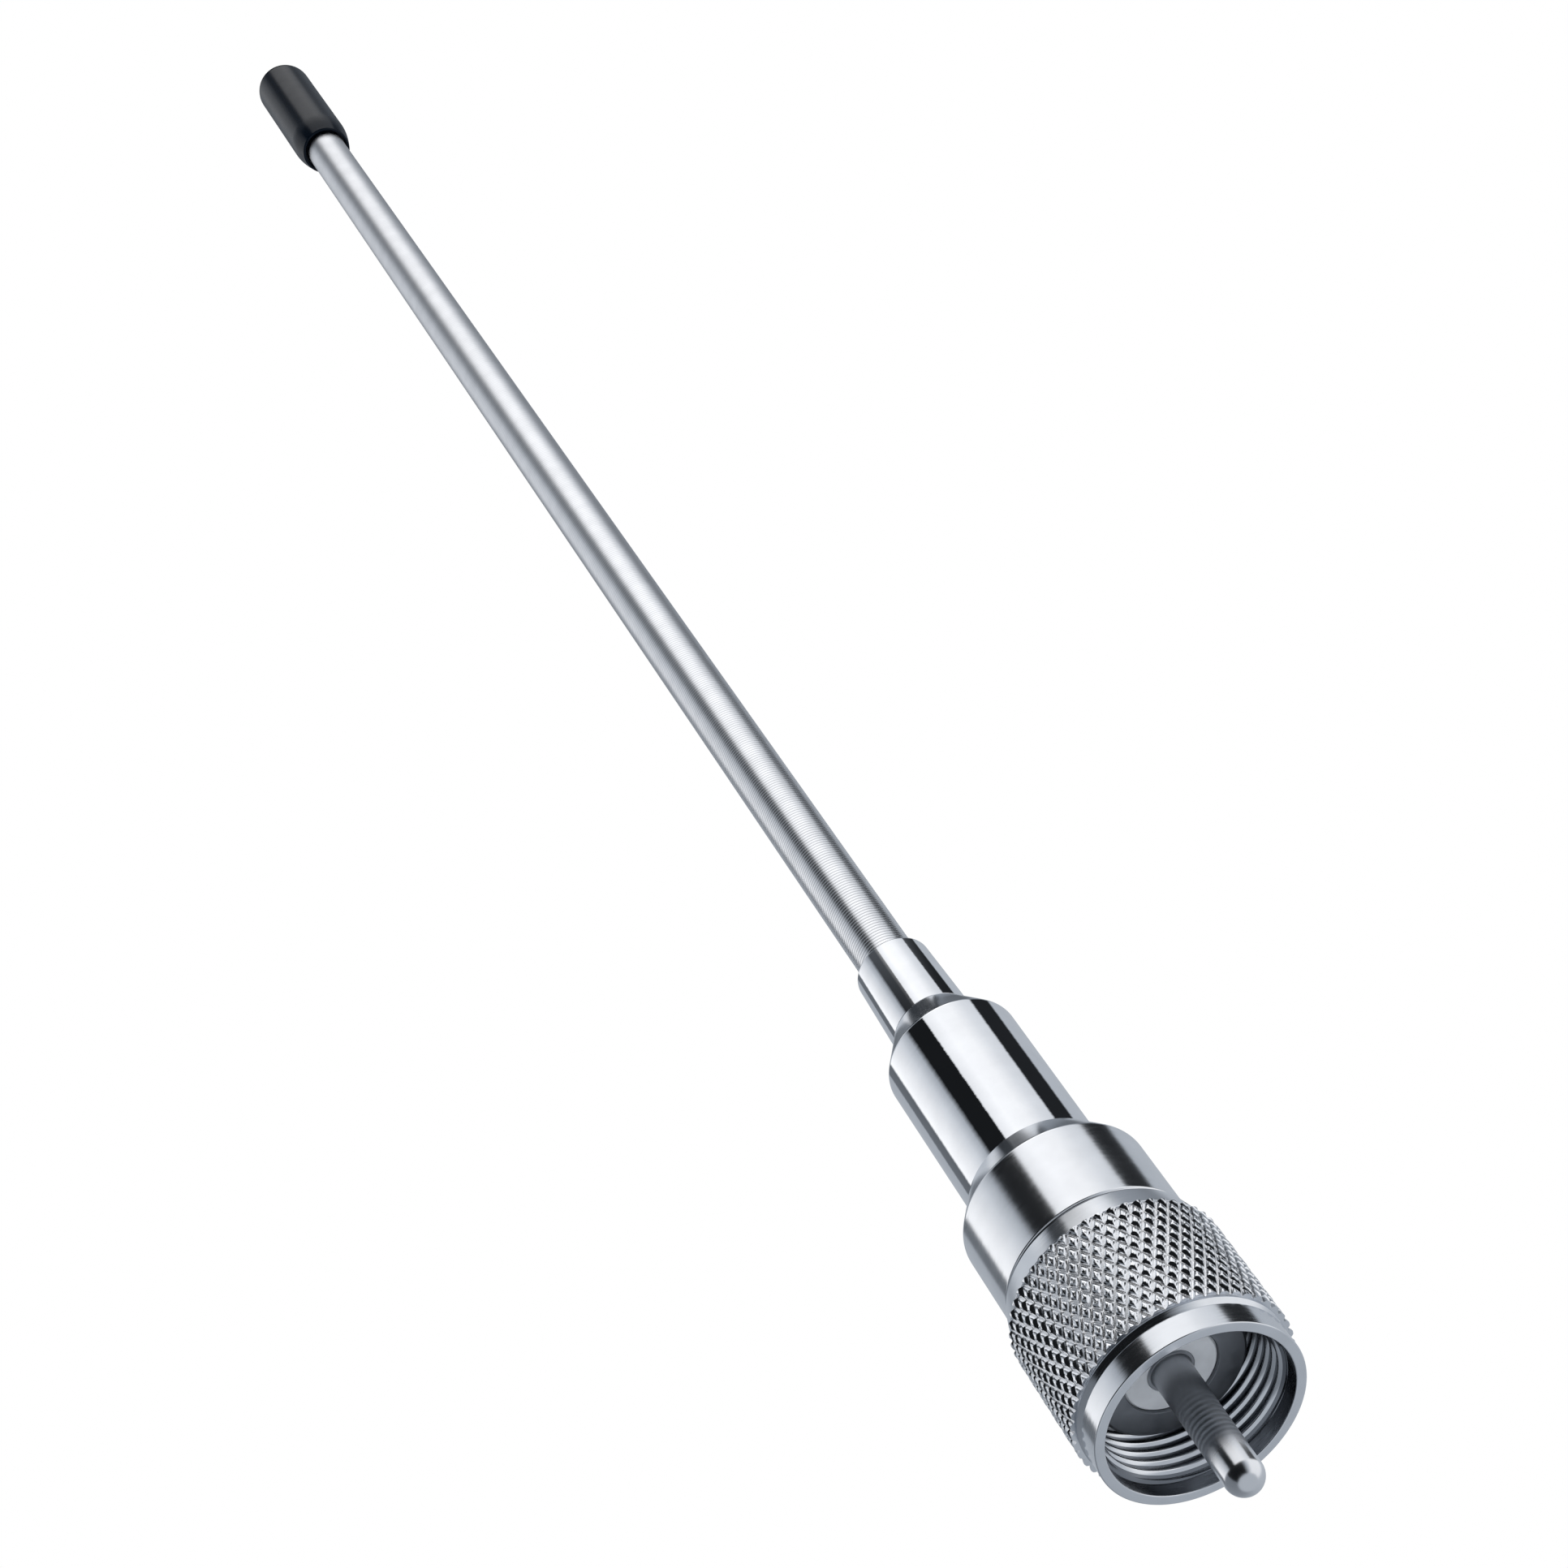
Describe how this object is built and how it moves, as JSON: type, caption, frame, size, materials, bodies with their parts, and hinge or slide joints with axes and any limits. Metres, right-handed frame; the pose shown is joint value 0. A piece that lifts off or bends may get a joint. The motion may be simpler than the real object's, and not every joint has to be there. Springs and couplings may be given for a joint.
{
  "type": "dual band radio antenna",
  "caption": "Slim whip antenna with a polished stepped base, a knurled coupling ring over a round-tipped centre pin, and a black tip cap.",
  "frame": {"origin": "centre of the plug shell's flat mating face", "axes": "+Z along the antenna from the plug to the tip; the whole antenna is turned about Z"},
  "size_m": [0.019, 0.019, 0.314],
  "materials": {
    "ring": "turned and nickel plated, sharp cut knurl",
    "friction": "moulded",
    "shell": "dull satin nickel",
    "insulator": "smooth pale plastic",
    "pin": "turned, polished at the tip",
    "brass": "turned",
    "copper": "enamelled copper wire",
    "former": "turned plastic",
    "capacitor": "dipped ceramic",
    "collar": "fine turned, plated",
    "seal": "moulded rubber",
    "body": "mirror polished",
    "ferrule": "mirror polished",
    "sleeve": "shrunk tubing",
    "whip": "close wound satin steel wire",
    "core": "drawn wire",
    "cap": "satin black moulding"
  },
  "bodies": {
    "antenna": {"plug_shell": "shell", "insulator": "insulator", "centre_pin": "pin", "clamp_ring": "brass", "pin_lead": "copper", "lead_tag": "brass", "coil_former": "former", "trap_coil": "copper", "trap_capacitor": "capacitor", "collar": "collar", "body_seal": "seal", "body_tube": "body", "ferrule": "ferrule", "whip_socket": "brass", "top_disc": "former", "whip_sleeve": "sleeve", "whip_winding": "whip", "whip_core": "core", "end_crimp": "brass", "tip_cap": "cap"},
    "slip": {"friction_ring": "friction"},
    "nut": {"coupling_ring": "ring"}
  },
  "joints": [
    {"name": "ring_slide", "type": "slide", "parent": "antenna", "child": "slip", "axis": [0, 0, -1], "range_m": [0, 0.0014]},
    {"name": "ring_turn", "type": "hinge", "parent": "slip", "child": "nut", "pos_m": [0, 0, 0.003], "axis": [0, 0, 1], "continuous": true}
  ]
}
